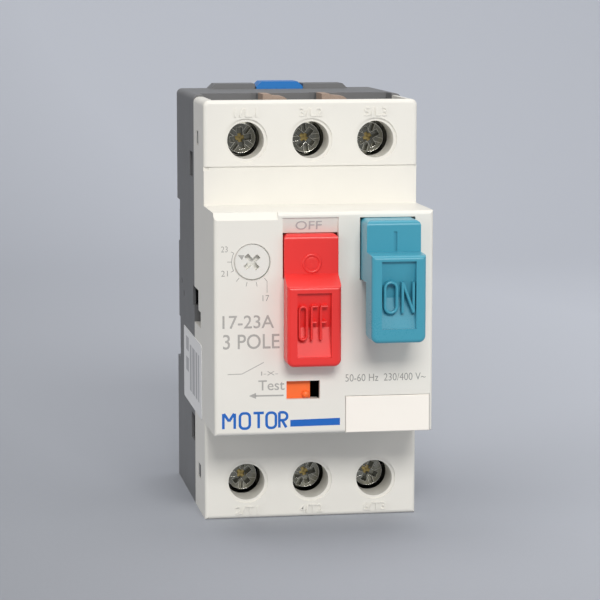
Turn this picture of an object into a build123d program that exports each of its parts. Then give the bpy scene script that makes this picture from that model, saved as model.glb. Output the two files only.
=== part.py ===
"""Three-pole motor protection breaker with ON and OFF keys, for a 35 mm rail.

Millimetres. +X is to the right of someone facing the panel, +Y goes back towards the rail, +Z is up.
The origin is the centre of the rail seat, so the panel faces -Y. The breaker is off: the OFF key is in
and the ON key is out.
"""

import math
import os

from build123d import *

os.makedirs("parts", exist_ok=True)

# Housing, overall
WIDTH = 44.5
COVER_HEIGHT = 87.0
RAIL_RISE = 1.7  # the rail's centre above the middle of the cover
BACK_DEPTH = 5.5  # from the rail seat back to the rearmost face
BASE_DEPTH = 27.3  # from the rail seat forward to the seam
TERMINAL_DEPTH = 17.2  # from the seam to the terminal face
PANEL_STEP = 16.5  # from the terminal face to the panel
PANEL_HEIGHT = 44.9
PANEL_TOP = 20.3
BASE_RISE = 0.4  # the base stands above the cover at the top
PLATE_RISE = 1.1  # the latch plate stands above the base
LATCH_RISE = 0.5  # the latch's tab stands above its plate

# Walls and gaps
WALL = 2.0
FLOOR = 2.2
BARRIER = 1.4
SHELF = 1.2
TONGUE = 1.2
FIT = 0.1  # between parts that stay still
SLIDE_GAP = 0.2  # between parts that slide
FREE = 0.3  # between parts that pass each other
RUNNING = 0.05  # radial, between a shaft and its bearing
CORNER = 1.2
EDGE = 0.8
BEVEL = 1.5
BEVEL_DEPTH = 1.3
BEVEL_END = -9.35
NOTCH = 1.15
STRIP_Z = 28.3  # the terminal face is lower between here and the panel

# Rail recess and latch
RAIL_SLOT = 35.5
HUMP = 8.5  # half height of the two bosses that enter the rail's channel
HUMP_DEPTH = 2.0
HUMP_INNER = 17.0
HOOK_REACH = 1.5
HOOK_GAP = 1.3  # between the seat and a hook, for the rail's flange
HOOK_RELIEF = 0.3  # the seat is lower behind the hooks
TAB_SLOPE = 1.3
TAB_DROP = 1.2
LIP = 0.6  # the side walls are this thin behind their windows
LIP_REACH = 6.0
LATCH_WIDTH = 10.4
LATCH_WING = 1.4
LATCH_TRAVEL = 3.0
LATCH_SPRING = 12.0
LATCH_SPRING_D = 2.4
LATCH_WINDOW = 4.0
PLATE_WIDTH = 28.6
PLATE_FRONT = -1.0

# Terminals
CELL_BACK = -21.6  # front face of the wall behind a terminal
CELL_DEPTH = 14.6  # from the cover's end down to the shelf
GUIDE_DROP = 1.6  # the wire guide lies this far inside the cover's end
GUIDE = 1.4
WIRE_HOLE = 9.5
WIRE_HOLE_FRONT = -36.8
LINE_SCREW_DROP = 8.2  # from the cover's upper end down to the screws
LOAD_SCREW_RISE = 7.7  # from its lower end up to them
ACCESS_D = 7.6
ACCESS_RIM_D = 8.9
ACCESS_RIM_DEPTH = 0.4
ACCESS_TUBE_D = 9.2
SCREW_SUNK = 8.0  # the screw head's top behind the terminal face
SCREW_HEAD_D = 6.9
SCREW_HEAD = 2.6
SCREW_D = 4.0
SCREW_LENGTH = 8.8
CLAMP = 8.6
CLAMP_THICKNESS = 1.0
CLAMP_TRAVEL = 3.0
PLATE_THICKNESS = 2.0
TAIL_WIDTH = 6.0
STRAP = 1.3

# Keys
ON_X = 12.85
OFF_X = -2.8
KEY_WIDTH = 10.9
KEY_STROKE = 5.5
ON_TOP = 19.0
ON_STEP = 12.55
ON_RAMP = 0.2
ON_SLOT_BOTTOM = 6.7
ON_PAD_BOTTOM = -4.75
ON_UPPER_PROUD = 6.5  # out of the panel, when out
ON_PAD_PROUD = 12.0
OFF_TOP = 16.0
OFF_STEP = 5.7
OFF_RAMP = 2.3
OFF_SLOT_BOTTOM = 7.2
OFF_PAD_BOTTOM = -10.2
OFF_UPPER_PROUD = 1.0  # out of the panel, when in
OFF_PAD_PROUD = 5.0
LEGEND_TOP = 19.2
LEGEND_DEPTH = 1.2
LEGEND_LIP = 0.3
STEM_WIDTH = 8.0
STEM_BOTTOM = 8.5
STEM_TOP = 15.4
ROCKER_ARM = 7.83
ROCKER_TIP = 1.5
ROCKER_GAP = 0.15
ROCKER_THICKNESS = 5.0
ROCKER_PIN_D = 2.4
SPRING_HEIGHT = 2.0
NOSE = 0.8
NOSE_GAP = 0.2
NOSE_SHIFT = 0.4
KEY_ROUND = 1.1
STEM_NOSE = 4.0
FRAME_GAP = 1.65  # between the mechanism frame and the cover's side walls
FLANGE = 1.2
PAD_CORNER = 1.4
PAD_EDGE = 0.8
PAD_RIM = 2.0
PAD_RIM_TOP = 1.1
ON_RIM_BOTTOM = 2.8
OFF_RIM_BOTTOM = 1.9
PAD_SUNK = 2.2
PAD_LIP = 0.8
STROKE_MARK = (12.85, 13.5, 12.9, 16.8)  # the ON key's upright stroke, engraved
MARK_DEPTH = 0.35
PAD_DEEPEST = 0.45

# Dial and test slider
DIAL_X = -14.6
DIAL_Z = 10.5
DIAL_D = 7.2
DIAL_SUNK = 0.1
SPINDLE_D = 3.4
CAM_D = 5.2
CAM_OFFSET = 0.5
HUB_D = 6.4
DIAL_CROSS = 3.6
SPINDLE_END = -45.0
WINDOW_X0 = -7.7
WINDOW_X1 = -0.9
WINDOW_Z0 = -17.4
WINDOW_Z1 = -13.7
WINDOW_WALL = 1.2
SLIDER_X0 = -11.0
SLIDER_X1 = -2.7
SLIDER = 1.4
NUB_X = -3.6
NUB_Z = -16.75
NUB_D = 1.5
TEST_TRAVEL = 3.0
TEST_STOP_X = -17.0
TEST_SPRING_D = 1.5
SLIDER_Z0 = -18.4
SLIDER_Z1 = -12.7
WEDGE_X0 = -8.6
WEDGE_X1 = -4.9
WEDGE_Z = -14.9
WEDGE_FRONT = -40.0
WEDGE_LENGTH = 2.6
TRIP_ARM_X0 = -9.5
TRIP_ARM_X1 = -7.5
MARKER_X0 = 4.3
MARKER_EDGE = 0.55  # from the marker's end to the cover's side
MARKER_TOP = -17.0
MARKER = 1.0
MARKER_SEAT = 0.8
LABEL = 0.1

# Contacts and releases
CONTACT_TRAVEL = 3.0
CONTACT_GAP = 3.1
UPPER_CONTACT_Z = 20.5
LOWER_CONTACT_Z = 7.0
CONTACT_Y = -9.0  # front face of the fixed tips
TIP = 4.0
CONTACT_TIP = 0.8
MOVING_TIP = 0.5
BRIDGE_WIDTH = 5.0
CARRIER_GAP = 2.75  # between the carrier and the base's side walls
CARRIER_Z0 = 11.0
CARRIER_Z1 = 17.0
CARRIER_BACK = -19.5
CARRIER_DEPTH = 5.5
COIL_Z = -18.0
COIL_D = 10.4
COIL_WIRE = 1.6
COIL_TURNS = 6
COIL_BACK = -3.8
COIL_LENGTH = 10.8
YOKE = 1.2
PLUNGER_D = 4.2
PLUNGER_TRAVEL = 2.0
CHUTE_PLATES = 8
CHUTE_PITCH = 1.2
CHUTE_PLATE = 0.5
CHUTE_CHEEK = 0.6
CHUTE_WIDTH = 9.8
LOWER_CHUTE = 8.0
VENT = 7.0
STRIP_DROP = 0.35
SCREW_TURNS = {"line": (8.0, 52.0, 28.0), "load": (40.0, 15.0, 65.0)}
BIMETAL_THICKNESS = 1.0
BIMETAL_WIDTH = 5.0
BIMETAL_TOP = -8.0
BIMETAL_FRONT = -33.0
SLIDE_RISE = 3.5  # the overload slide's underside above the bimetals' tips
OVERLOAD_TRAVEL = 1.5
SHAFT_Y = -24.0
SHAFT_Z = -6.0
SHAFT_D = 3.6
PADDLE = 1.2
SHAFT_SEAT = 1.0
SLIDE_BAR = 1.5

# Worked out from the above
HALF = WIDTH / 2
INNER = HALF - WALL
FRAME_HALF = INNER - FRAME_GAP
CARRIER_HALF = INNER - CARRIER_GAP
MARKER_X1 = HALF - MARKER_EDGE
PITCH = 2 * INNER / 3
POLES = (-PITCH, 0.0, PITCH)
CELL = PITCH - BARRIER
MIDDLE = -RAIL_RISE
TOP = MIDDLE + COVER_HEIGHT / 2
BOTTOM = MIDDLE - COVER_HEIGHT / 2
LINE_SCREW_Z = TOP - LINE_SCREW_DROP
LOAD_SCREW_Z = BOTTOM + LOAD_SCREW_RISE
BASE_TOP = TOP + BASE_RISE
PLATE_TOP = BASE_TOP + PLATE_RISE
LATCH_TOP = PLATE_TOP + LATCH_RISE
SEAM = -BASE_DEPTH
FACE = SEAM - TERMINAL_DEPTH
PANEL = FACE - PANEL_STEP
PANEL_BOTTOM = PANEL_TOP - PANEL_HEIGHT
TONGUE_OUT = INNER - FIT
TONGUE_IN = TONGUE_OUT - TONGUE
CELL_FRONT = FACE + WALL + FIT
CELL_WALL = CELL_BACK + WALL  # rear face of the wall behind a terminal
LINE_SHELF = TOP - CELL_DEPTH
LOAD_SHELF = BOTTOM + CELL_DEPTH
HEAD_TOP = FACE + SCREW_SUNK
HEAD_BACK = HEAD_TOP + SCREW_HEAD
CLAMP_BACK = HEAD_BACK + CLAMP_THICKNESS
PLATE_Y = CLAMP_BACK + CLAMP_TRAVEL + FREE
PLATE_BACK = PLATE_Y + PLATE_THICKNESS
ACCESS_END = HEAD_TOP - FREE - 0.4
STEM_END = PANEL + WALL + 13.0
ROCKER_X = (ON_X + OFF_X) / 2
ROCKER_Y = STEM_END + ROCKER_GAP + ROCKER_TIP + KEY_STROKE / 2
ROCKER_ANGLE = math.degrees(math.asin(KEY_STROKE / 2 / ROCKER_ARM))
ROCKER_Z0 = (STEM_BOTTOM + STEM_TOP - ROCKER_THICKNESS) / 2
ROCKER_Z1 = ROCKER_Z0 + ROCKER_THICKNESS
BRIDGE_BACK = CONTACT_Y - CONTACT_GAP - 0.5
CARRIER_FRONT = CARRIER_BACK - CARRIER_DEPTH
BARRIER_FRONT = CARRIER_BACK + CONTACT_TRAVEL + 0.7
FRAME_WEB = ROCKER_Y + ROCKER_TIP + KEY_STROKE / 2 + 1.1
FRAME = 1.0
SLOT = RAIL_SLOT / 2
GUIDE_HALF = LATCH_WIDTH / 2 + SLIDE_GAP
GUIDE_FLOOR = HOOK_GAP - SLIDE_GAP
LATCH_BACK = BACK_DEPTH - SLIDE_GAP
TAB_BOTTOM = BASE_TOP - 1.0
WINDOW_BOTTOM = SLOT + 2.5
PEG_BOTTOM = WINDOW_BOTTOM + LATCH_SPRING
PEG_BACK = HOOK_GAP + LATCH_SPRING_D
WING_TOP = PEG_BOTTOM + 1.0
YOKE_BOTTOM = COIL_Z - COIL_D / 2 - FREE - YOKE
SLIDER_BACK = PANEL + WINDOW_WALL + SLIDE_GAP + SLIDER
NOSE_X = ROCKER_X + CONTACT_TRAVEL / 2 / math.tan(math.radians(ROCKER_ANGLE))
NOSE_Y = ROCKER_Y + (ROCKER_TIP + NOSE + NOSE_GAP) / math.cos(math.radians(ROCKER_ANGLE)) - CONTACT_TRAVEL / 2
VENTS = ((-7.7, -2.6), (4.9, 10.2))


def block(x0, x1, y0, y1, z0, z1, mode=Mode.ADD):
    """Adds or cuts a box between the given coordinates."""
    with Locations(((x0 + x1) / 2, (y0 + y1) / 2, (z0 + z1) / 2)):
        Box(x1 - x0, y1 - y0, z1 - z0, mode=mode)


def rod_x(y, z, x0, x1, diameter, mode=Mode.ADD):
    """Adds or cuts a round rod along X."""
    with Locations(Location(((x0 + x1) / 2, y, z), (0, 90, 0))):
        Cylinder(diameter / 2, x1 - x0, mode=mode)


def rod_y(x, z, y0, y1, diameter, mode=Mode.ADD):
    """Adds or cuts a round rod along Y."""
    with Locations(Location((x, (y0 + y1) / 2, z), (90, 0, 0))):
        Cylinder(diameter / 2, y1 - y0, mode=mode)


def rod_z(x, y, z0, z1, diameter, mode=Mode.ADD):
    """Adds or cuts a round rod along Z."""
    with Locations((x, y, (z0 + z1) / 2)):
        Cylinder(diameter / 2, z1 - z0, mode=mode)


def side_profile(points, x0, x1, mode=Mode.ADD):
    """Adds or cuts a prism whose outline is given as (y, z) points, between two X planes."""
    with BuildSketch(Plane.YZ.offset(x0)) as outline:
        with BuildLine():
            Polyline(*points, close=True)
        make_face()
    extrude(outline.sketch, amount=x1 - x0, mode=mode)


def side_window(y0, y1, z0, z1, back):
    """Cuts a window in both side walls, and thins the walls behind its rear edge, as far as back."""
    for side in (-1, 1):
        block(*span(side * INNER, side * HALF), y0, y1, z0, z1, Mode.SUBTRACT)
        block(*span(side * (INNER - 1), side * (HALF - LIP)), y0, min(y1 + LIP_REACH, back), z0, z1, Mode.SUBTRACT)


def span(a, b):
    """Two numbers in rising order."""
    return (a, b) if a < b else (b, a)


def save(builder, name):
    """Writes a finished piece as its own node."""
    builder.part.label = name
    export_step(builder.part, f"parts/{name}.step")


def bellows(x, y, z, direction, length, outer, wall, turns):
    """A spring's envelope: a tube with one round rib for each turn, along direction from (x, y, z)."""
    pitch = length / turns
    with BuildSketch(Plane(origin=(x, y, z), x_dir=direction, z_dir=across(direction))) as outline:
        with Locations((length / 2, outer / 2 - wall * 0.75)):
            Rectangle(length - wall, wall / 2)
        with Locations(*[((n + 0.5) * pitch, outer / 2 - wall / 2) for n in range(turns)]):
            Circle(wall / 2)
    revolve(outline.sketch, axis=Axis((x, y, z), direction))


def across(direction):
    """A unit vector square to an axis direction."""
    return (0, 0, 1) if abs(direction[2]) < 0.5 else (1, 0, 0)


# Terminals: the line side is at the top and the load side at the bottom, each a mirror of the other
LINE = {"sign": 1, "z": LINE_SCREW_Z, "shelf": LINE_SHELF, "end": TOP}
LOAD = {"sign": -1, "z": LOAD_SCREW_Z, "shelf": LOAD_SHELF, "end": BOTTOM}
SIDES = {"line": LINE, "load": LOAD}

# --- Base housing: the dark rear moulding, with the rail recess, pole chambers and terminal cells
with BuildPart() as base_housing:
    block(-HALF, HALF, SEAM, BACK_DEPTH, BOTTOM, BASE_TOP)
    corners = base_housing.edges().filter_by(Axis.Y).group_by(Axis.Z)[-1]
    fillet(corners, radius=CORNER)
    chamfer(base_housing.edges().filter_by(Axis.X).group_by(Axis.Y)[-1], length=0.8)
    block(-INNER, INNER, SEAM, -FLOOR, BOTTOM + WALL, BASE_TOP - WALL, Mode.SUBTRACT)
    # the rail's recess, with a boss at each side that enters the rail's channel, and a fixed lower hook
    block(-HALF, HALF, 0, BACK_DEPTH, -SLOT, SLOT, Mode.SUBTRACT)
    for x0, x1 in ((-HALF, -HUMP_INNER), (HUMP_INNER, HALF)):
        block(x0, x1, 0, HUMP_DEPTH, -HUMP, HUMP)
    for z0, z1 in ((-SLOT, -SLOT + HOOK_REACH + 2 * FREE), (SLOT - HOOK_REACH - 2 * FREE, SLOT)):
        block(-HALF, HALF, -HOOK_RELIEF, 0, z0, z1, Mode.SUBTRACT)
    block(-INNER, INNER, HOOK_GAP, BACK_DEPTH - 0.8, -SLOT, -SLOT + HOOK_REACH)
    # raised plate at the top, with the latch's guide down its middle
    with BuildSketch(Plane.XZ.offset(-BACK_DEPTH)):
        with BuildLine():
            half_plate = PLATE_WIDTH / 2
            Polyline(
                (-half_plate - PLATE_RISE, BASE_TOP - 1),
                (half_plate + PLATE_RISE, BASE_TOP - 1),
                (half_plate + PLATE_RISE, BASE_TOP),
                (half_plate, PLATE_TOP),
                (-half_plate, PLATE_TOP),
                (-half_plate - PLATE_RISE, BASE_TOP),
                close=True,
            )
        make_face()
    extrude(amount=BACK_DEPTH - PLATE_FRONT)
    block(-GUIDE_HALF, GUIDE_HALF, GUIDE_FLOOR, BACK_DEPTH, SLOT - 1, PLATE_TOP, Mode.SUBTRACT)
    wing_half = GUIDE_HALF + LATCH_WING
    wing_back = HOOK_GAP + LATCH_WING + SLIDE_GAP
    block(-wing_half, wing_half, GUIDE_FLOOR, wing_back, SLOT - 1, WING_TOP + LATCH_TRAVEL + 1, Mode.SUBTRACT)
    block(-GUIDE_HALF, GUIDE_HALF, PLATE_FRONT - 1, BACK_DEPTH, TAB_BOTTOM - SLIDE_GAP, PLATE_TOP, Mode.SUBTRACT)
    peg = LATCH_WINDOW / 2 - SLIDE_GAP
    block(-peg, peg, GUIDE_FLOOR, PEG_BACK, PEG_BOTTOM, PEG_BOTTOM + 2.5)
    # pole barriers in the rear chamber
    for x in (-PITCH / 2, PITCH / 2):
        x0, x1 = x - BARRIER / 2, x + BARRIER / 2
        block(x0, x1, BARRIER_FRONT, -FLOOR, BOTTOM + WALL, BASE_TOP - WALL)
        block(x0, x1, CELL_WALL, BARRIER_FRONT, LINE_SHELF - SHELF, BASE_TOP - WALL)
        block(x0, x1, CELL_WALL, BARRIER_FRONT, BOTTOM + WALL, LOAD_SHELF + SHELF)
    # terminal cells, open towards the ends of the housing
    for side in SIDES.values():
        sign, shelf, end = side["sign"], side["shelf"], side["end"]
        rim = BASE_TOP if sign > 0 else BOTTOM
        block(-INNER, INNER, SEAM, CELL_BACK, *span(shelf, rim + sign), Mode.SUBTRACT)
        block(-INNER, INNER, CELL_BACK, CELL_WALL, *span(shelf - sign * SHELF, rim))
        block(-TONGUE_OUT, TONGUE_OUT, CELL_FRONT, CELL_BACK, *span(shelf - sign * SHELF, shelf))
        guide_out = end - sign * GUIDE_DROP
        guide_in = guide_out - sign * GUIDE
        block(-TONGUE_OUT, TONGUE_OUT, CELL_FRONT, CELL_BACK, *span(guide_in, guide_out))
        for x in (-PITCH / 2, PITCH / 2):
            block(x - BARRIER / 2, x + BARRIER / 2, CELL_FRONT, CELL_BACK, *span(shelf, guide_in))
        for x0, x1 in ((-TONGUE_OUT, -TONGUE_IN), (TONGUE_IN, TONGUE_OUT)):
            block(x0, x1, CELL_FRONT, CELL_BACK, *span(shelf, guide_in))
        hole = WIRE_HOLE / 2
        tail = TAIL_WIDTH / 2 + SLIDE_GAP
        for x in POLES:
            wire = span(guide_in, guide_out)
            block(x - hole, x + hole, WIRE_HOLE_FRONT, CELL_BACK - 4.0, *wire, Mode.SUBTRACT)
            # the terminal's tail passes through the wall next to the shelf
            slit = span(shelf + sign * FREE, shelf + sign * (STRAP + 3 * FREE))
            block(x - tail, x + tail, CELL_BACK, CELL_WALL, *slit, Mode.SUBTRACT)
    # slots beside the vent strips
    for x0, x1 in VENTS:
        block(x0 - 1.5, x0 - FIT, CELL_BACK, CELL_BACK + 1.2, TOP - GUIDE_DROP, BASE_TOP, Mode.SUBTRACT)
    # windows and marks in both side walls
    side_window(-25.3, -20.0, 24.7, 30.0, -20.0)
    side_window(SEAM, -24.9, -2.6, 1.65, -FLOOR)
    side_window(SEAM, -21.0, -31.9, -26.3, -FLOOR)
    for x0, x1 in ((-HALF, -INNER), (INNER, HALF)):
        rod_x(-3.5, 0.0, x0, x1, 1.4, Mode.SUBTRACT)
        rod_x(-7.5, -2.4, x0, x1, 1.4, Mode.SUBTRACT)
    # bearings for the trip shaft
    reach = INNER + SHAFT_SEAT
    rod_x(SHAFT_Y, SHAFT_Z, -reach, reach, SHAFT_D + 2 * RUNNING, Mode.SUBTRACT)
    # hooks that the cover snaps over
    hook = HALF - FIT
    for x0, x1 in ((-hook, -TONGUE_OUT), (TONGUE_OUT, hook)):
        for z in (LINE_SCREW_Z, LOAD_SCREW_Z + 0.9):
            block(x0, x1, -35.3, -33.2, z - 1.2, z + 1.2)
save(base_housing, "base_housing")

# --- Front cover: the pale front moulding, with the raised panel, open at its top and bottom ends
with BuildPart() as front_cover:
    block(-HALF, HALF, FACE, SEAM - FIT, BOTTOM, TOP)
    fillet(front_cover.edges().filter_by(Axis.Y).group_by(Axis.Z)[-1], radius=CORNER)
    fillet(front_cover.faces().sort_by(Axis.Y)[0].edges(), radius=EDGE)
    block(-HALF, HALF, PANEL, FACE + EDGE + 0.2, PANEL_BOTTOM, PANEL_TOP)
    fillet(front_cover.faces().sort_by(Axis.Y)[0].edges(), radius=EDGE)
    # the panel's top edge is bevelled more widely over the dial
    bevel = ((PANEL - 1, PANEL_TOP - BEVEL), (PANEL, PANEL_TOP - BEVEL), (PANEL + BEVEL_DEPTH, PANEL_TOP),
             (PANEL + BEVEL_DEPTH, PANEL_TOP + 1), (PANEL - 1, PANEL_TOP + 1))
    side_profile(bevel, -HALF, BEVEL_END, Mode.SUBTRACT)
    block(-INNER, INNER, FACE + WALL, SEAM, BOTTOM - 1, TOP + 1, Mode.SUBTRACT)
    ceiling, floor = PANEL_TOP - WALL, PANEL_BOTTOM + WALL
    block(-INNER, INNER, PANEL + WALL, FACE + WALL, floor, ceiling, Mode.SUBTRACT)
    block(-HALF, HALF, FACE, FACE + STRIP_DROP, PANEL_TOP, STRIP_Z, Mode.SUBTRACT)
    for x0, x1 in ((-HALF, -HALF + NOTCH), (HALF - NOTCH / 2, HALF)):
        block(x0, x1, FACE, FACE + 0.6, STRIP_Z - 0.8, STRIP_Z, Mode.SUBTRACT)
    # screwdriver ways to the six terminal screws
    for side in SIDES.values():
        for x in POLES:
            rod_y(x, side["z"], FACE + WALL, ACCESS_END, ACCESS_TUBE_D)
            rod_y(x, side["z"], FACE, ACCESS_END, ACCESS_D, Mode.SUBTRACT)
            rod_y(x, side["z"], FACE, FACE + ACCESS_RIM_DEPTH, ACCESS_RIM_D, Mode.SUBTRACT)
    # openings in the panel
    key_half = KEY_WIDTH / 2 + SLIDE_GAP
    for x, bottom, top in ((ON_X, ON_SLOT_BOTTOM, ON_TOP), (OFF_X, OFF_SLOT_BOTTOM, OFF_TOP)):
        z0, z1 = bottom - SLIDE_GAP, top + FIT
        block(x - key_half, x + key_half, PANEL, PANEL + WALL, z0, z1, Mode.SUBTRACT)
    # the ceiling is relieved above the ON key
    relief = PANEL + WALL + KEY_STROKE + 2 * FREE
    block(ON_X - key_half, ON_X + key_half, PANEL, relief, ON_SLOT_BOTTOM, ON_TOP + FIT, Mode.SUBTRACT)
    legend = ((PANEL - 1, OFF_TOP), (PANEL + LEGEND_DEPTH, OFF_TOP), (PANEL + LEGEND_LIP, LEGEND_TOP),
              (PANEL - 1, LEGEND_TOP))
    side_profile(legend, OFF_X - key_half, OFF_X + key_half, Mode.SUBTRACT)
    rod_y(DIAL_X, DIAL_Z, PANEL, PANEL + WALL, HUB_D + 2 * RUNNING, Mode.SUBTRACT)
    rod_y(DIAL_X, DIAL_Z, PANEL, PANEL + WALL / 2, DIAL_D + 2 * SLIDE_GAP, Mode.SUBTRACT)
    block(WINDOW_X0, WINDOW_X1, PANEL, PANEL + WALL, WINDOW_Z0, WINDOW_Z1, Mode.SUBTRACT)
    block(MARKER_X0, MARKER_X1, PANEL, PANEL + MARKER_SEAT, PANEL_BOTTOM, MARKER_TOP, Mode.SUBTRACT)
    # guides for the test slider, and the stop for its spring
    slider_x0 = SLIDER_X0 - TEST_TRAVEL - FREE
    rails = (SLIDER_Z0 - SLIDE_GAP, SLIDER_Z1 + SLIDE_GAP)
    block(slider_x0, WINDOW_X1 + FREE, PANEL + WINDOW_WALL, PANEL + WALL, *rails, Mode.SUBTRACT)
    for z, sign in ((rails[0], -1), (rails[1], 1)):
        block(slider_x0, WINDOW_X1, PANEL + WALL, SLIDER_BACK + 1.4, *span(z, z + sign * 1.2))
        block(slider_x0, WINDOW_X1, SLIDER_BACK + SLIDE_GAP, SLIDER_BACK + 1.4, *span(z, z - sign * 0.9))
    block(TEST_STOP_X - 1, TEST_STOP_X, PANEL + WALL, SLIDER_BACK + 1.4, *rails)
    # windows in both side walls
    side_window(-35.65, -32.6, LINE_SCREW_Z - 1.5, LINE_SCREW_Z + 1.5, SEAM)
    side_window(-34.5, SEAM, -2.6, 1.65, SEAM)
    side_window(-38.3, SEAM, -5.9, -2.5, SEAM)
    side_window(-37.25, -32.9, LOAD_SCREW_Z - 0.6, LOAD_SCREW_Z + 2.4, SEAM)
save(front_cover, "front_cover")


# --- Keys: stepped push keys, each with a pad that overhangs the panel and a stem that meets the rocker
def key_outline(x, top, step, ramp, slot_bottom, pad_bottom, upper, pad, out):
    """Adds a key's body: upper is its upper face, pad its pad's face, out how far it is from fully in."""
    back = PANEL - SLIDE_GAP - out  # rear of the overhanging pad
    root = PANEL + WALL + KEY_STROKE - out + FREE
    half = KEY_WIDTH / 2
    points = (
        (root, top),
        (upper, top),
        (upper, step + ramp),
        (pad, step),
        (pad, pad_bottom),
        (back, pad_bottom),
        (back, slot_bottom),
        (root, slot_bottom),
    )
    points = [p for n, p in enumerate(points) if n == 0 or p != points[n - 1]]
    side_profile(points, x - half, x + half)


def make_key(x, top, step, ramp, slot_bottom, pad_bottom, rim_bottom, upper_proud, pad_proud, out, mark=None):
    """Makes one key, out millimetres short of fully in, with an engraved mark = (x0, x1, z0, z1) if given."""
    upper, pad = PANEL - upper_proud, PANEL - pad_proud
    root = PANEL + WALL + KEY_STROKE - out + FREE
    stem_end = STEM_END + KEY_STROKE - out
    with BuildPart() as key:
        key_outline(x, top, step, ramp, slot_bottom, pad_bottom, upper, pad, out)
        ridge = key.edges().filter_by(Axis.X).group_by(Axis.Z)[-1].sort_by(Axis.Y)[0]
        fillet([ridge, *key.edges().filter_by(Axis.Y).group_by(Axis.Z)[-1]], radius=KEY_ROUND)
        corners = key.edges().filter_by(Axis.Y).group_by(Axis.Z)[0]
        fillet(corners, radius=PAD_CORNER)
        fillet(key.faces().sort_by(Axis.Y)[0].edges(), radius=PAD_EDGE)
        recess_half = KEY_WIDTH / 2 - PAD_RIM
        z0, z1 = pad_bottom + rim_bottom, step - PAD_RIM_TOP
        deepest = z0 + PAD_DEEPEST * (z1 - z0)
        scoop = ((pad - 1, z0), (pad + PAD_LIP, z0), (pad + PAD_SUNK, deepest), (pad + PAD_LIP, z1), (pad - 1, z1))
        side_profile(scoop, x - recess_half, x + recess_half, Mode.SUBTRACT)
        if mark:
            block(mark[0], mark[1], upper, upper + MARK_DEPTH, mark[2], mark[3], Mode.SUBTRACT)
        # flange that keeps it behind the panel, and the stem
        wide = KEY_WIDTH / 2 + FLANGE
        block(x - wide, x + wide, root, root + FLANGE, slot_bottom - FLANGE, STEM_TOP + FLANGE)
        stem = STEM_WIDTH / 2
        block(x - stem, x + stem, root, stem_end - STEM_NOSE, STEM_BOTTOM, STEM_TOP)
        # the nose stands outboard of the rocker's tip, clear of the rocker's slope
        nose = x + math.copysign(NOSE_SHIFT, x - ROCKER_X)
        block(nose - NOSE, nose + NOSE, stem_end - STEM_NOSE, stem_end, STEM_BOTTOM, STEM_TOP)
    return key


on_key = make_key(
    ON_X, ON_TOP, ON_STEP, ON_RAMP, ON_SLOT_BOTTOM, ON_PAD_BOTTOM, ON_RIM_BOTTOM, ON_UPPER_PROUD, ON_PAD_PROUD,
    KEY_STROKE, STROKE_MARK,
)
save(on_key, "on_key")
off_key = make_key(
    OFF_X, OFF_TOP, OFF_STEP, OFF_RAMP, OFF_SLOT_BOTTOM, OFF_PAD_BOTTOM, OFF_RIM_BOTTOM, OFF_UPPER_PROUD,
    OFF_PAD_PROUD, 0.0,
)
save(off_key, "off_key")

# --- Rocker between the two keys, on its pin
with BuildPart() as rocker:
    with BuildSketch(Plane.XY.offset(ROCKER_Z0)):
        with Locations((ROCKER_X, ROCKER_Y)):
            SlotCenterToCenter(2 * ROCKER_ARM, 2 * ROCKER_TIP, rotation=-ROCKER_ANGLE)
            Circle(ROCKER_PIN_D / 2 + 1.4)
    extrude(amount=ROCKER_THICKNESS)
    pin_hole = ROCKER_PIN_D + 2 * RUNNING
    rod_z(ROCKER_X, ROCKER_Y, ROCKER_Z0, ROCKER_Z1, pin_hole, Mode.SUBTRACT)
save(rocker, "rocker")

EAR_BOTTOM = ROCKER_Z0 - FREE - FRAME
EAR_TOP = ROCKER_Z1 + FREE + FRAME
with BuildPart() as rocker_pin:
    rod_z(ROCKER_X, ROCKER_Y, EAR_BOTTOM - 0.6, EAR_TOP + SPRING_HEIGHT, ROCKER_PIN_D)
    chamfer(rocker_pin.edges().filter_by(GeomType.CIRCLE), length=0.25)
save(rocker_pin, "rocker_pin")

with BuildPart() as rocker_spring:
    wire = 0.6
    start = EAR_TOP + FIT
    outer = ROCKER_PIN_D + 2 * wire + 0.4
    bellows(ROCKER_X, ROCKER_Y, start, (0, 0, 1), SPRING_HEIGHT - 0.4, outer, wire, 3)
save(rocker_spring, "rocker_spring")

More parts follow.
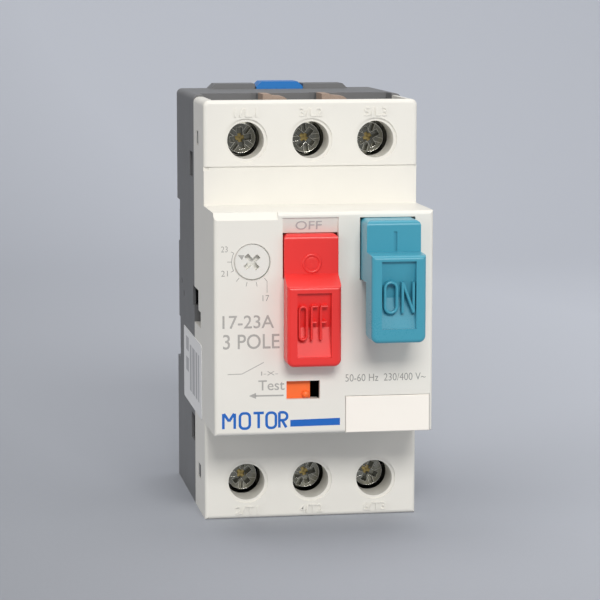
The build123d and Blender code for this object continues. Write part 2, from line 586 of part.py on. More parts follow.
# --- Mechanism frame: held between the two shelves, it carries the rocker and guides the overload slide
SLIDE_Z0 = BIMETAL_TOP + SLIDE_RISE
SLIDE_Z1 = SLIDE_Z0 + SLIDE_BAR
with BuildPart() as mechanism_frame:
    side = (LOAD_SHELF + SHELF + FIT, LINE_SHELF - SHELF - FIT)
    block(-FRAME_HALF, FRAME_HALF, FRAME_WEB, FRAME_WEB + FRAME, side[0], side[1])
    for x0, x1 in ((-FRAME_HALF, -FRAME_HALF + 1.2), (FRAME_HALF - 1.2, FRAME_HALF)):
        block(x0, x1, FRAME_WEB, SHAFT_Y - SHAFT_D / 2 - 1.2, side[0], side[1])
    for z in (EAR_BOTTOM, ROCKER_Z1 + FREE):
        block(ROCKER_X - 2.7, ROCKER_X + 2.7, ROCKER_Y - 2.4, FRAME_WEB, z, z + FRAME)
    pressed = ROCKER_PIN_D + 0.04
    rod_z(ROCKER_X, ROCKER_Y, EAR_BOTTOM, EAR_TOP, pressed, Mode.SUBTRACT)
    for z in (SLIDE_Z0 - SLIDE_GAP - FRAME, SLIDE_Z1 + SLIDE_GAP):
        block(-FRAME_HALF, FRAME_HALF, FRAME_WEB, BIMETAL_FRONT - 0.6, z, z + FRAME)
    nose = NOSE + 2 * FREE
    web = (FRAME_WEB, FRAME_WEB + FRAME)
    block(NOSE_X - nose, NOSE_X + nose, *web, CARRIER_Z0 - 3, CARRIER_Z1 + 3, Mode.SUBTRACT)
    arm = (TRIP_ARM_X0 - 2 * FREE, TRIP_ARM_X1 + 2 * FREE)
    block(*arm, FRAME_WEB, SHAFT_Y, SHAFT_Z - 9.5, SHAFT_Z + 2.5, Mode.SUBTRACT)
save(mechanism_frame, "mechanism_frame")

# --- Current dial with its spindle and cam
with BuildPart() as current_dial:
    front = PANEL + DIAL_SUNK
    rod_y(DIAL_X, DIAL_Z, front, PANEL + WALL / 2 - FIT, DIAL_D)
    chamfer(current_dial.edges().filter_by(GeomType.CIRCLE).sort_by(Axis.Y)[0], length=0.2)
    rod_y(DIAL_X, DIAL_Z, PANEL + DIAL_SUNK + 0.3, PANEL + WALL + SLIDE_GAP + 0.4, HUB_D)
    rod_y(DIAL_X, DIAL_Z, PANEL + WALL + SLIDE_GAP, PANEL + WALL + SLIDE_GAP + 1.2, DIAL_D + 1.6)
    rod_y(DIAL_X, DIAL_Z, PANEL + WALL, SPINDLE_END, SPINDLE_D)
    rod_y(DIAL_X + CAM_OFFSET, DIAL_Z, SPINDLE_END - 3, SPINDLE_END, CAM_D)
    with BuildSketch(Plane.XZ.offset(-front)):
        with Locations((DIAL_X, DIAL_Z)):
            Rectangle(DIAL_CROSS, 1.0, rotation=40)
            Rectangle(DIAL_CROSS, 1.0, rotation=130)
    extrude(amount=-1.3, mode=Mode.SUBTRACT)
save(current_dial, "current_dial")

# --- Test slider with its finger and wedge, and its return spring
with BuildPart() as test_slider:
    block(SLIDER_X0, SLIDER_X1, SLIDER_BACK - SLIDER, SLIDER_BACK, SLIDER_Z0, SLIDER_Z1)
    rod_y(NUB_X, NUB_Z, SLIDER_BACK - SLIDER, SLIDER_BACK - SLIDER + 0.8, NUB_D, Mode.SUBTRACT)
    block(WEDGE_X1 - 2, WEDGE_X1, SLIDER_BACK, WEDGE_FRONT, WEDGE_Z - 2.0, WEDGE_Z + 1.0)
    with BuildSketch(Plane.XZ.offset(-WEDGE_FRONT + 0.0)):
        with BuildLine():
            run = WEDGE_X1 - WEDGE_X0
            Polyline(
                (WEDGE_X0, WEDGE_Z - 2.0),
                (WEDGE_X1, WEDGE_Z - 2.0),
                (WEDGE_X1, WEDGE_Z + run),
                (WEDGE_X0, WEDGE_Z),
                close=True,
            )
        make_face()
    extrude(amount=-WEDGE_LENGTH)
save(test_slider, "test_slider")

with BuildPart() as test_spring:
    z = (SLIDER_Z0 + SLIDER_Z1) / 2
    length = SLIDER_X0 - TEST_STOP_X - 2 * FIT
    y = PANEL + WALL + FIT + TEST_SPRING_D / 2
    bellows(TEST_STOP_X + FIT, y, z, (1, 0, 0), length, TEST_SPRING_D, 0.3, 7)
save(test_spring, "test_spring")

# --- Marker plate and side label
with BuildPart() as marker_plate:
    seat = PANEL + MARKER_SEAT
    block(MARKER_X0 + FIT, MARKER_X1 - FIT, seat - MARKER, seat, PANEL_BOTTOM + FIT, MARKER_TOP - FIT)
    chamfer(marker_plate.faces().sort_by(Axis.Y)[0].edges(), length=0.15)
save(marker_plate, "marker_plate")

with BuildPart() as side_label:
    block(-HALF - LABEL, -HALF, -39.7, -7.7, -25.0, -9.3)
    fillet(side_label.edges().filter_by(Axis.X), radius=0.6)
save(side_label, "side_label")

# --- Rail latch: pulled up by its tab, and its return spring
with BuildPart() as rail_latch:
    latch = LATCH_WIDTH / 2
    block(-latch, latch, HOOK_GAP, LATCH_BACK, SLOT - HOOK_REACH, LATCH_TOP)
    block(-latch, latch, PLATE_FRONT - 0.6, LATCH_BACK, TAB_BOTTOM, LATCH_TOP)
    wing = latch + LATCH_WING
    block(-wing, wing, HOOK_GAP, HOOK_GAP + LATCH_WING, WING_TOP - 14, WING_TOP)
    window = LATCH_WINDOW / 2
    top = PEG_BOTTOM + 2.5 + FREE
    block(-window, window, HOOK_GAP, PEG_BACK + SLIDE_GAP, WINDOW_BOTTOM, top, Mode.SUBTRACT)
    lead = rail_latch.edges().filter_by(Axis.X).group_by(Axis.Z)[0].sort_by(Axis.Y)[-1]
    chamfer(lead, length=HOOK_REACH)
    for side in (-1, 1):
        with BuildSketch(Plane.XZ.offset(-LATCH_BACK - 1)) as corner:
            with BuildLine():
                Polyline(
                    (side * (latch - TAB_SLOPE), LATCH_TOP + FIT),
                    (side * (latch + FIT), LATCH_TOP - TAB_DROP),
                    (side * (latch + FIT), LATCH_TOP + FIT),
                    close=True,
                )
            make_face()
        extrude(corner.sketch, amount=LATCH_BACK + 1 - PLATE_FRONT + 2, mode=Mode.SUBTRACT)
save(rail_latch, "rail_latch")

with BuildPart() as rail_latch_spring:
    y = HOOK_GAP + LATCH_SPRING_D / 2
    length = PEG_BOTTOM - WINDOW_BOTTOM - 2 * FIT
    bellows(0, y, WINDOW_BOTTOM + FIT, (0, 0, 1), length, LATCH_SPRING_D, 0.4, 9)
save(rail_latch_spring, "rail_latch_spring")


# --- Terminals, with their screws and clamps
def make_terminal(x, side):
    """The conductor that the clamp presses the wire on, with its tail into the rear chamber."""
    sign = side["sign"]
    near = side["shelf"] + sign * 2 * FREE
    far = side["z"] + sign * CLAMP / 2
    half = TAIL_WIDTH / 2
    with BuildPart() as terminal:
        block(x - CLAMP / 2, x + CLAMP / 2, PLATE_Y, PLATE_BACK, *span(near, far))
        rod_y(x, side["z"], PLATE_Y, PLATE_BACK, SCREW_D + 2 * RUNNING, Mode.SUBTRACT)
        if sign > 0:
            strap_y = CONTACT_Y + CONTACT_TIP
            block(x - half, x + half, PLATE_Y, strap_y + STRAP, near, near + STRAP)
            block(x - half, x + half, strap_y, strap_y + STRAP, UPPER_CONTACT_Z - 2, near + STRAP)
            rod_y(x, UPPER_CONTACT_Z, CONTACT_Y, strap_y, TIP)
        else:
            strap_y = COIL_BACK - COIL_LENGTH + 3
            block(x - half, x + half, PLATE_Y, strap_y + STRAP, near - STRAP, near)
            block(x - half, x + half, strap_y, strap_y + STRAP, near - STRAP, YOKE_BOTTOM - 2 * FREE)
    return terminal


def make_screw(x, z, turn):
    """A clamp screw with a combined cross and slot, turned by so many degrees."""
    with BuildPart() as screw:
        rod_y(x, z, HEAD_TOP, HEAD_BACK, SCREW_HEAD_D)
        chamfer(screw.edges().filter_by(GeomType.CIRCLE).sort_by(Axis.Y)[0], length=0.4)
        rod_y(x, z, HEAD_BACK, HEAD_BACK + SCREW_LENGTH, SCREW_D)
        chamfer(screw.edges().filter_by(GeomType.CIRCLE).sort_by(Axis.Y)[-1], length=0.5)
        with BuildSketch(Plane.XZ.offset(-HEAD_TOP)):
            with Locations((x, z)):
                Rectangle(4.6, 1.3, rotation=turn)
                Rectangle(4.6, 1.3, rotation=turn + 90)
        extrude(amount=-1.9, mode=Mode.SUBTRACT)
        with BuildSketch(Plane.XZ.offset(-HEAD_TOP)):
            with Locations((x, z)):
                Rectangle(SCREW_HEAD_D + 1, 1.0, rotation=turn + 45)
        extrude(amount=-1.2, mode=Mode.SUBTRACT)
    return screw


def make_clamp(x, z):
    """The square plate under a screw's head, with turned-in edges that keep it square to the wire."""
    front = HEAD_BACK + RUNNING
    half = CLAMP / 2
    with BuildPart() as clamp:
        block(x - half, x + half, front, CLAMP_BACK, z - half, z + half)
        for x0, x1 in ((x - half, x - half + 0.8), (x + half - 0.8, x + half)):
            block(x0, x1, front - 1.0, front, z - half, z + half)
        rod_y(x, z, front, CLAMP_BACK, SCREW_D + 2 * SLIDE_GAP, Mode.SUBTRACT)
    return clamp


for side_name, side in SIDES.items():
    for pole, x in enumerate(POLES, start=1):
        save(make_terminal(x, side), f"{side_name}_terminal_{pole}")
        save(make_screw(x, side["z"], SCREW_TURNS[side_name][pole - 1]), f"{side_name}_screw_{pole}")
        save(make_clamp(x, side["z"]), f"{side_name}_clamp_{pole}")

# --- Contact carrier, moving contacts and their springs
CAGE_HALF = BRIDGE_WIDTH / 2 + SLIDE_GAP
with BuildPart() as contact_carrier:
    block(-CARRIER_HALF, CARRIER_HALF, CARRIER_FRONT, CARRIER_BACK, CARRIER_Z0, CARRIER_Z1)
    for x in POLES:
        for x0, x1 in ((x - CAGE_HALF - 0.9, x - CAGE_HALF), (x + CAGE_HALF, x + CAGE_HALF + 0.9)):
            block(x0, x1, CARRIER_BACK, BRIDGE_BACK + FIT + 1, CARRIER_Z0, CARRIER_Z1)
        block(x - CAGE_HALF - 0.9, x + CAGE_HALF + 0.9, BRIDGE_BACK + FIT, BRIDGE_BACK + FIT + 1,
              CARRIER_Z0 + 1.0, CARRIER_Z1 - 1.0)
    # push post with a round nose that the rocker bears on
    rod_z(NOSE_X, NOSE_Y, ROCKER_Z0, ROCKER_Z1, 2 * NOSE)
    block(NOSE_X - NOSE, NOSE_X + NOSE, NOSE_Y, CARRIER_FRONT, ROCKER_Z0, ROCKER_Z1)
save(contact_carrier, "contact_carrier")

with BuildPart() as moving_contacts:
    for x in POLES:
        z0, z1 = LOWER_CONTACT_Z - TIP / 2, UPPER_CONTACT_Z + TIP / 2
        block(x - BRIDGE_WIDTH / 2, x + BRIDGE_WIDTH / 2, BRIDGE_BACK - 1, BRIDGE_BACK, z0, z1)
        for z in (LOWER_CONTACT_Z, UPPER_CONTACT_Z):
            rod_y(x, z, BRIDGE_BACK, BRIDGE_BACK + MOVING_TIP, TIP - 0.4)
save(moving_contacts, "moving_contacts")

with BuildPart() as contact_springs:
    for x in POLES:
        z = (CARRIER_Z0 + CARRIER_Z1) / 2
        length = BRIDGE_BACK - 1 - CARRIER_BACK - 2 * FIT
        bellows(x, CARRIER_BACK + FIT, z, (0, 1, 0), length, 4.4, 0.6, 5)
save(contact_springs, "contact_springs")


# --- Per pole: arc chutes, coil with the lower contact, yoke, plunger and bimetal
def make_chute(x, z0, z1):
    """A stack of splitter plates between two insulating cheeks."""
    half = CHUTE_WIDTH / 2
    depth = (CHUTE_PLATES - 1) * CHUTE_PITCH + CHUTE_PLATE
    front = CONTACT_Y - FREE - depth
    with BuildPart() as chute:
        for n in range(CHUTE_PLATES):
            y = front + n * CHUTE_PITCH
            block(x - half, x + half, y, y + CHUTE_PLATE, z0, z1)
        for x0, x1 in ((x - half - CHUTE_CHEEK, x - half), (x + half, x + half + CHUTE_CHEEK)):
            block(x0, x1, front, front + depth, z0, z1)
    return chute


def make_coil(x):
    """The magnetic trip's winding, with the strap that carries the lower fixed contact."""
    strap_y = CONTACT_Y + CONTACT_TIP
    half = TAIL_WIDTH / 2
    with BuildPart() as coil:
        start = COIL_BACK - COIL_LENGTH
        bellows(x, start, COIL_Z, (0, 1, 0), COIL_LENGTH, COIL_D, COIL_WIRE, COIL_TURNS)
        strap_bottom = COIL_Z + COIL_D / 2 - 0.7 * COIL_WIRE
        block(x - half, x + half, strap_y, strap_y + STRAP, strap_bottom, LOWER_CONTACT_Z + 2)
        rod_y(x, LOWER_CONTACT_Z, CONTACT_Y, strap_y, TIP)
    return coil


def make_yoke(x):
    """The coil's iron frame: a front plate that guides the plunger, a bottom, a back and a fixed core."""
    half = 4.5
    front = COIL_BACK - COIL_LENGTH - FREE - YOKE
    back = -FLOOR - FIT
    top = COIL_Z + COIL_D / 2
    with BuildPart() as yoke:
        block(x - half, x + half, front, front + YOKE, YOKE_BOTTOM, top)
        block(x - half, x + half, front, back, YOKE_BOTTOM, YOKE_BOTTOM + YOKE)
        block(x - half, x + half, back - YOKE, back, YOKE_BOTTOM, top)
        rod_y(x, COIL_Z, COIL_BACK - 3.0, back, PLUNGER_D + 1.0)
        rod_y(x, COIL_Z, front, front + YOKE, PLUNGER_D + 2 * RUNNING, Mode.SUBTRACT)
    return yoke


def make_plunger(x):
    """The magnetic trip's plunger."""
    tip = SHAFT_Y + PADDLE / 2 + PLUNGER_TRAVEL + FREE
    back = COIL_BACK - 3.0 - FREE
    with BuildPart() as plunger:
        rod_y(x, COIL_Z, tip, back, PLUNGER_D)
        chamfer(plunger.edges().filter_by(GeomType.CIRCLE), length=0.4)
    return plunger


def make_bimetal(x):
    """The overload strip with its heater winding, standing on a foot on the shelf."""
    z0 = LOAD_SHELF + SHELF + FIT
    back = BIMETAL_FRONT + BIMETAL_WIDTH
    thick = BIMETAL_THICKNESS / 2
    with BuildPart() as bimetal:
        block(x - thick, x + thick, BIMETAL_FRONT, back, z0, BIMETAL_TOP)
        block(x - 3, x + 3, BIMETAL_FRONT, back + 2, z0, z0 + 1.2)
        for n in range(7):
            z = z0 + 4.5 + n * 1.6
            block(x - thick - 1.1, x + thick + 1.1, BIMETAL_FRONT - 0.6, back + 0.6, z, z + 1.0)
    return bimetal


for pole, x in enumerate(POLES, start=1):
    top_of_chute = LINE_SHELF + 2 * FREE - FREE
    save(make_chute(x, UPPER_CONTACT_Z + TIP / 2 + 0.4, top_of_chute), f"upper_arc_chute_{pole}")
    low = LOWER_CONTACT_Z - TIP / 2 - 0.4
    save(make_chute(x, low - LOWER_CHUTE, low), f"lower_arc_chute_{pole}")
    save(make_coil(x), f"trip_coil_{pole}")
    save(make_yoke(x), f"trip_yoke_{pole}")
    save(make_plunger(x), f"trip_plunger_{pole}")
    save(make_bimetal(x), f"bimetal_{pole}")

# --- Trip shaft: three paddles in front of the plungers, and an arm over the test slider's wedge
with BuildPart() as trip_shaft:
    end = INNER + SHAFT_SEAT - SLIDE_GAP
    rod_x(SHAFT_Y, SHAFT_Z, -end, end, SHAFT_D)
    for x in POLES:
        block(x - 2, x + 2, SHAFT_Y - PADDLE / 2, SHAFT_Y + PADDLE / 2, COIL_Z - 1.5, SHAFT_Z)
    tip = WEDGE_FRONT + WEDGE_LENGTH - 2.0
    under = WEDGE_Z + TRIP_ARM_X1 - WEDGE_X0 + FREE
    points = (
        (SHAFT_Y, SHAFT_Z + 1),
        (tip, under + 2),
        (tip, under),
        (tip + 2.4, under),
        (SHAFT_Y, SHAFT_Z - 1.5),
    )
    side_profile(points, TRIP_ARM_X0, TRIP_ARM_X1)
save(trip_shaft, "trip_shaft")

# --- Overload slide: pushed along by the bimetals
with BuildPart() as overload_slide:
    x0, x1 = -FRAME_HALF + 1.6, FRAME_HALF - 1.6 - OVERLOAD_TRAVEL
    front = FRAME_WEB + FRAME + SLIDE_GAP
    back = BIMETAL_FRONT + BIMETAL_WIDTH
    block(x0, x1, front, back, SLIDE_Z0, SLIDE_Z1)
    for x in POLES:
        finger = x + BIMETAL_THICKNESS / 2 + FREE
        block(finger, finger + 1, BIMETAL_FRONT, back, BIMETAL_TOP - 3, SLIDE_Z0)
save(overload_slide, "overload_slide")

# --- Vent strips that stand on the line side's wire guide, against the rear wall, between the poles
with BuildPart() as vent_strips:
    for x0, x1 in VENTS:
        z0 = TOP - GUIDE_DROP
        with BuildSketch(Plane.XZ.offset(-CELL_BACK + FIT)):
            with BuildLine():
                Polyline(
                    (x0, z0), (x1, z0), (x1, BASE_TOP - 0.9), (x1 - 0.6, BASE_TOP - 0.5),
                    (x0 + 2.2, BASE_TOP - 0.3), (x0 + 1.6, BASE_TOP + 0.1), (x0, BASE_TOP + 0.1), close=True,
                )
            make_face()
        extrude(amount=VENT)
save(vent_strips, "vent_strips")
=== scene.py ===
"""Looks for the three-pole motor protection breaker: plain studio, moulded plastics, print and metal."""

import math

import bpy
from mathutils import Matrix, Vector


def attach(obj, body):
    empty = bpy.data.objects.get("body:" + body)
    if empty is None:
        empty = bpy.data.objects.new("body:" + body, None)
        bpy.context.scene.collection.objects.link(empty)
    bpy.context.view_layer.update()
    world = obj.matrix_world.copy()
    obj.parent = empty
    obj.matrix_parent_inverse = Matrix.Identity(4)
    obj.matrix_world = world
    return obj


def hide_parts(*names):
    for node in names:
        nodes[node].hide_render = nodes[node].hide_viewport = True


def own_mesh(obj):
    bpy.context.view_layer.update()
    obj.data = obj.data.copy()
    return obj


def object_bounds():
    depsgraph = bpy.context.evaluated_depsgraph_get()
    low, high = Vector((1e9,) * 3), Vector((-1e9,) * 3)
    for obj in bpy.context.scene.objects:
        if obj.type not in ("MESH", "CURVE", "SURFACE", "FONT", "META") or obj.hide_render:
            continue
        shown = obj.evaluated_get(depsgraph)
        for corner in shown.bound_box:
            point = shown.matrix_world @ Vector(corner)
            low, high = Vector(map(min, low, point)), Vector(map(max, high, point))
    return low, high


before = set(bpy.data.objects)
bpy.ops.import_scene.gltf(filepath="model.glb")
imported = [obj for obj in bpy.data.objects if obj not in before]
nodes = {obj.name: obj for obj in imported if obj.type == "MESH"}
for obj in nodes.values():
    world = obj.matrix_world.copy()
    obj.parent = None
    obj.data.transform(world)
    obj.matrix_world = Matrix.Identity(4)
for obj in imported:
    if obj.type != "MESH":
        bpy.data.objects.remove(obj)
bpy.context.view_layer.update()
MM = 0.001


# --- Studio: a pale sweep that runs from under the breaker up behind it, four soft lights and the camera.
# The breaker stands on its lower end, as it would on a bench, with its panel towards the camera.
class Finish:
    """A material under construction: node() adds any node, and paint() sets the Principled shader."""

    def __init__(self, name):
        self.material = bpy.data.materials.new(name)
        self.material.use_nodes = True
        self.tree = self.material.node_tree
        self.shader = self.tree.nodes["Principled BSDF"]

    def put(self, socket, value):
        if isinstance(value, Wire):
            self.tree.links.new(value.socket, socket)
        else:
            socket.default_value = value

    def node(self, kind, settings=None, inputs=None, out=0):
        made = self.tree.nodes.new(kind)
        for name, value in (settings or {}).items():
            setattr(made, name, value)
        for name, value in (inputs or {}).items():
            self.put(made.inputs[name], value)
        return Wire(self, made.outputs[out])

    def paint(self, **values):
        for name, value in values.items():
            self.put(self.shader.inputs[name.replace("_", " ")], value)
        return self.material


class Wire:
    """A socket's value in a material, which Python's arithmetic works on by adding Math nodes."""

    def __init__(self, finish, socket):
        self.finish = finish
        self.socket = socket

    def maths(self, operation, first, second):
        settings = {"operation": operation}
        return self.finish.node("ShaderNodeMath", settings, {0: first, 1: second})

    def __add__(self, other):
        return self.maths("ADD", self, other)

    def __sub__(self, other):
        return self.maths("SUBTRACT", self, other)

    def __mul__(self, other):
        return self.maths("MULTIPLY", self, other)

    __radd__ = __add__
    __rmul__ = __mul__


def deselect():
    bpy.ops.object.select_all(action="DESELECT")


def area_light(name, place, aim, size, power, tint):
    bpy.ops.object.light_add(type="AREA", location=place)
    light = bpy.context.object
    light.name = name
    light.data.shape = "RECTANGLE"
    light.data.size, light.data.size_y = size
    light.data.energy = power
    light.data.color = tint
    light.rotation_euler = (Vector(aim) - Vector(place)).to_track_quat("-Z", "Y").to_euler()
    return light


floor_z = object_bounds()[0][2]
WALL_HEIGHT = 2
SPREAD = 3
FRONT_ROOM = 2
deselect()
bpy.ops.mesh.primitive_plane_add(size=2, location=(0, 0, floor_z))
sweep = bpy.context.object
sweep.name = "studio_sweep"
bpy.ops.object.mode_set(mode="EDIT")
bpy.ops.mesh.select_mode(type="EDGE")
bpy.ops.mesh.select_all(action="DESELECT")
bpy.ops.object.mode_set(mode="OBJECT")
for edge in sweep.data.edges:
    edge.select = all(sweep.data.vertices[n].co.y > 0.5 for n in edge.vertices)
bpy.ops.object.mode_set(mode="EDIT")
bpy.ops.mesh.extrude_region_move(TRANSFORM_OT_translate={"value": (0, 0, WALL_HEIGHT)})
bpy.ops.object.mode_set(mode="OBJECT")
bpy.ops.object.transform_apply(location=True, rotation=True, scale=True)
for vertex in sweep.data.vertices:
    vertex.co.x *= SPREAD
    if vertex.co.y < 0:
        vertex.co.y -= FRONT_ROOM
bend = sweep.modifiers.new("bend", "BEVEL")
bend.width = 0.6
bend.segments = 24
bend.limit_method = "ANGLE"
bpy.ops.object.modifier_apply(modifier=bend.name)
bpy.ops.object.shade_smooth()
paper = Finish("studio_paper")
spot = paper.node("ShaderNodeTexCoord", out=3)
across = paper.node("ShaderNodeSeparateXYZ", None, {0: spot}, out=0)
away = paper.node("ShaderNodeSeparateXYZ", None, {0: spot}, out=1)
# Painted shade: the paper is darker towards the left and the front, with faint fibres over it.
painted_shade_ramp = paper.node("ShaderNodeClamp", None, {0: across * 2.2 + away * 0.75 + 0.5})
fibres = paper.node("ShaderNodeTexNoise", None, {"Vector": spot, "Scale": 1800.0, "Detail": 2.0})
level = painted_shade_ramp * 0.75 + (fibres - 0.5) * 0.03 + 0.33
shade = paper.node("ShaderNodeHueSaturation", None, {"Value": level, "Color": (0.56, 0.59, 0.66, 1)})
paper.paint(Base_Color=shade, Roughness=0.9)
sweep.data.materials.append(paper.material)

AIM = Vector((-0.0023, -0.0445, 0.0005))
area_light("key_softbox", (0.0, -1.05, 0.62), AIM, (0.5, 0.32), 8.3, (1.0, 0.985, 0.955))
area_light("fill_softbox", (0.8, -0.7, 0.25), AIM, (0.6, 0.8), 1.6, (1.0, 0.99, 0.97))
area_light("left_softbox", (-1.0, -0.35, 0.2), AIM, (0.5, 0.8), 3.2, (1.0, 0.99, 0.965))
area_light("top_softbox", (0.0, 0.1, 0.9), AIM, (0.9, 0.7), 4.2, (1.0, 0.985, 0.955))
world = bpy.data.worlds.new("studio_air")
world.use_nodes = True
world.node_tree.nodes["Background"].inputs["Color"].default_value = (0.88, 0.875, 0.87, 1)
world.node_tree.nodes["Background"].inputs["Strength"].default_value = 0.32
bpy.context.scene.world = world
bpy.context.scene.view_settings.view_transform = "Standard"

AZIMUTH = math.radians(-9.13)
ELEVATION = math.radians(7.46)
DISTANCE = 0.5061
bearing = Vector((
    math.sin(AZIMUTH) * math.cos(ELEVATION),
    -math.cos(AZIMUTH) * math.cos(ELEVATION),
    math.sin(ELEVATION),
))
camera_data = bpy.data.cameras.new("camera")
camera_data.lens = 146.8
camera_data.sensor_width = 36
camera = bpy.data.objects.new("camera", camera_data)
camera.location = AIM + bearing * DISTANCE
camera.rotation_euler = (-bearing).to_track_quat("-Z", "Y").to_euler()
bpy.context.scene.collection.objects.link(camera)
bpy.context.scene.camera = camera


# --- Housing: a dark grey glass-filled base and a warm white cover that snaps over it, both injection
# moulded in tools with a fine spark-eroded grain. The pole numbers stand proud of the cover's two ends.
def moulded(name, colour, roughness, grain=0.25, mottle=0.03, fibre=0.0):
    """A moulded plastic: eroded grain, a faint cloud in colour and gloss, and, with fibre, pale flecks."""
    finish = Finish(name)
    place = finish.node("ShaderNodeTexCoord", out=3)
    cloud = finish.node("ShaderNodeTexNoise", None, {"Vector": place, "Scale": 90.0, "Detail": 3.0})
    sparks = finish.node("ShaderNodeTexNoise", None, {"Vector": place, "Scale": 5200.0, "Detail": 2.0})
    swing = (cloud - 0.5) * (2 * mottle) + (sparks - 0.5) * fibre
    shade = finish.node("ShaderNodeHueSaturation", None, {"Value": swing + 1.0, "Color": (*colour, 1)})
    bump = finish.node("ShaderNodeBump", None, {"Strength": grain, "Distance": 0.00003, "Height": sparks})
    finish.paint(
        Base_Color=shade,
        Roughness=(cloud - 0.5) * 0.12 + (sparks - 0.5) * 0.1 + roughness,
        Normal=bump,
        IOR=1.5,
    )
    return finish.material


def dress(node, material):
    """Gives a CAD node's slots a finish."""
    data = nodes[node].data
    if not data.materials:
        data.materials.append(material)
    for index in range(len(data.materials)):
        data.materials[index] = material


def settle(piece, name, material, body):
    """Finishes a piece that is already in its place: names it, paints it and lets it ride on its body."""
    piece.name = name
    piece.data.materials.clear()
    piece.data.materials.append(material)
    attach(piece, body)
    return piece


def lettering(name, words, box, face, proud, material, body, weight=0.0, lean=0.0):
    """Words that fill box = (x0, x1, z0, z1), in mm, standing proud of the plane Y = face, facing -Y.

    The plane comes lean mm forward for each mm above the words' lower edge."""
    deselect()
    bpy.ops.object.text_add()
    text = bpy.context.object
    text.data.body = words
    text.data.extrude = 1
    text.data.offset = weight
    text.data.resolution_u = 4
    bpy.ops.object.convert(target="MESH")
    piece = bpy.context.object
    low = [min(v.co[n] for v in piece.data.vertices) for n in range(3)]
    high = [max(v.co[n] for v in piece.data.vertices) for n in range(3)]
    x0, x1, z0, z1 = box
    for vertex in piece.data.vertices:
        across, up, out = ((vertex.co[n] - low[n]) / (high[n] - low[n]) for n in range(3))
        rise = up * (z1 - z0)
        depth = face - lean * rise - proud * (2 * out - 1)
        vertex.co = Vector((x0 + across * (x1 - x0), depth, z0 + rise)) * MM
    return settle(piece, name, material, body)


def arc(x, z, radius, start, stop, steps=24):
    """Points round a centre, from one angle to another in degrees."""
    angles = [math.radians(start + (stop - start) * n / steps) for n in range(steps + 1)]
    return [(x + radius * math.cos(a), z + radius * math.sin(a)) for a in angles]


def curve_to_mesh(name, curve):
    """Turns a curve into an active mesh object, at the origin."""
    deselect()
    piece = bpy.data.objects.new(name, curve)
    bpy.context.scene.collection.objects.link(piece)
    piece.select_set(True)
    bpy.context.view_layer.objects.active = piece
    bpy.ops.object.convert(target="MESH")
    return bpy.context.object


def turn_out_and_smooth():
    """Turns the active mesh's normals outward and shades its gentle edges smooth."""
    bpy.ops.object.mode_set(mode="EDIT")
    bpy.ops.mesh.select_all(action="SELECT")
    bpy.ops.mesh.normals_make_consistent(inside=False)
    bpy.ops.object.mode_set(mode="OBJECT")
    bpy.ops.object.shade_smooth_by_angle(angle=math.radians(50))


def ridge(name, runs, width, face, proud, material, body):
    """Round-topped strokes along runs of (x, z) points, in mm, standing proud of the plane Y = face."""
    outline = bpy.data.curves.new(name, "CURVE")
    outline.dimensions = "3D"
    outline.twist_mode = "Z_UP"
    outline.bevel_depth = width / 2
    outline.bevel_resolution = 3
    outline.extrude = max(0.0, proud - width / 2)
    outline.use_fill_caps = True
    for points in runs:
        closed = points[0] == points[-1]
        points = points[:-1] if closed else points
        spline = outline.splines.new("POLY")
        spline.points.add(len(points) - 1)
        for point, (x, z) in zip(spline.points, points):
            point.co = (x, z, 0, 1)
        spline.use_cyclic_u = closed
    piece = curve_to_mesh(name, outline)
    squeeze = min(1.0, proud / (width / 2))
    for vertex in piece.data.vertices:
        x, z, out = vertex.co
        vertex.co = Vector((x, face - out * squeeze, z)) * MM
    turn_out_and_smooth()
    return settle(piece, name, material, body)


white = moulded("cover_white", (0.82, 0.80, 0.745), 0.40, grain=0.3)
grey = moulded("base_grey", (0.165, 0.167, 0.172), 0.5, grain=0.45, mottle=0.05, fibre=0.12)
dress("front_cover", white)
dress("base_housing", grey)
FACE = -44.5
PANEL = -61.0
PITCH = 13.5
MARK_HALF = 2.4
MARK_PROUD = 0.26
MARK_WEIGHT = 0.004
for pole, upper, lower in ((1, "1/L1", "2/T1"), (2, "3/L2", "4/T2"), (3, "5/L3", "6/T3")):
    x = (pole - 2) * PITCH
    for row, words, z0, z1 in (("line", upper, 38.4, 40.2), ("load", lower, -44.3, -42.6)):
        box = (x - MARK_HALF, x + MARK_HALF, z0, z1)
        lettering(f"{row}_mark_{pole}", words, box, FACE, MARK_PROUD, white, "housing", MARK_WEIGHT)


# --- Printing: pale grey pad print on the panel, thin enough to catch no light, and a blue name and bar.
def ink(name, colour, wear):
    """Pad printing ink: matt, and a little thin in places."""
    finish = Finish(name)
    place = finish.node("ShaderNodeTexCoord", out=3)
    thin = finish.node("ShaderNodeTexNoise", None, {"Vector": place, "Scale": 1500.0, "Detail": 3.0})
    level = (thin - 0.5) * wear + 1.0
    shade = finish.node("ShaderNodeHueSaturation", None, {"Value": level, "Color": (*colour, 1)})
    bump = finish.node("ShaderNodeBump", None, {"Strength": 0.2, "Distance": 0.00001, "Height": thin})
    finish.paint(Base_Color=shade, Roughness=(thin - 0.5) * 0.2 + 0.55, Normal=bump)
    return finish.material


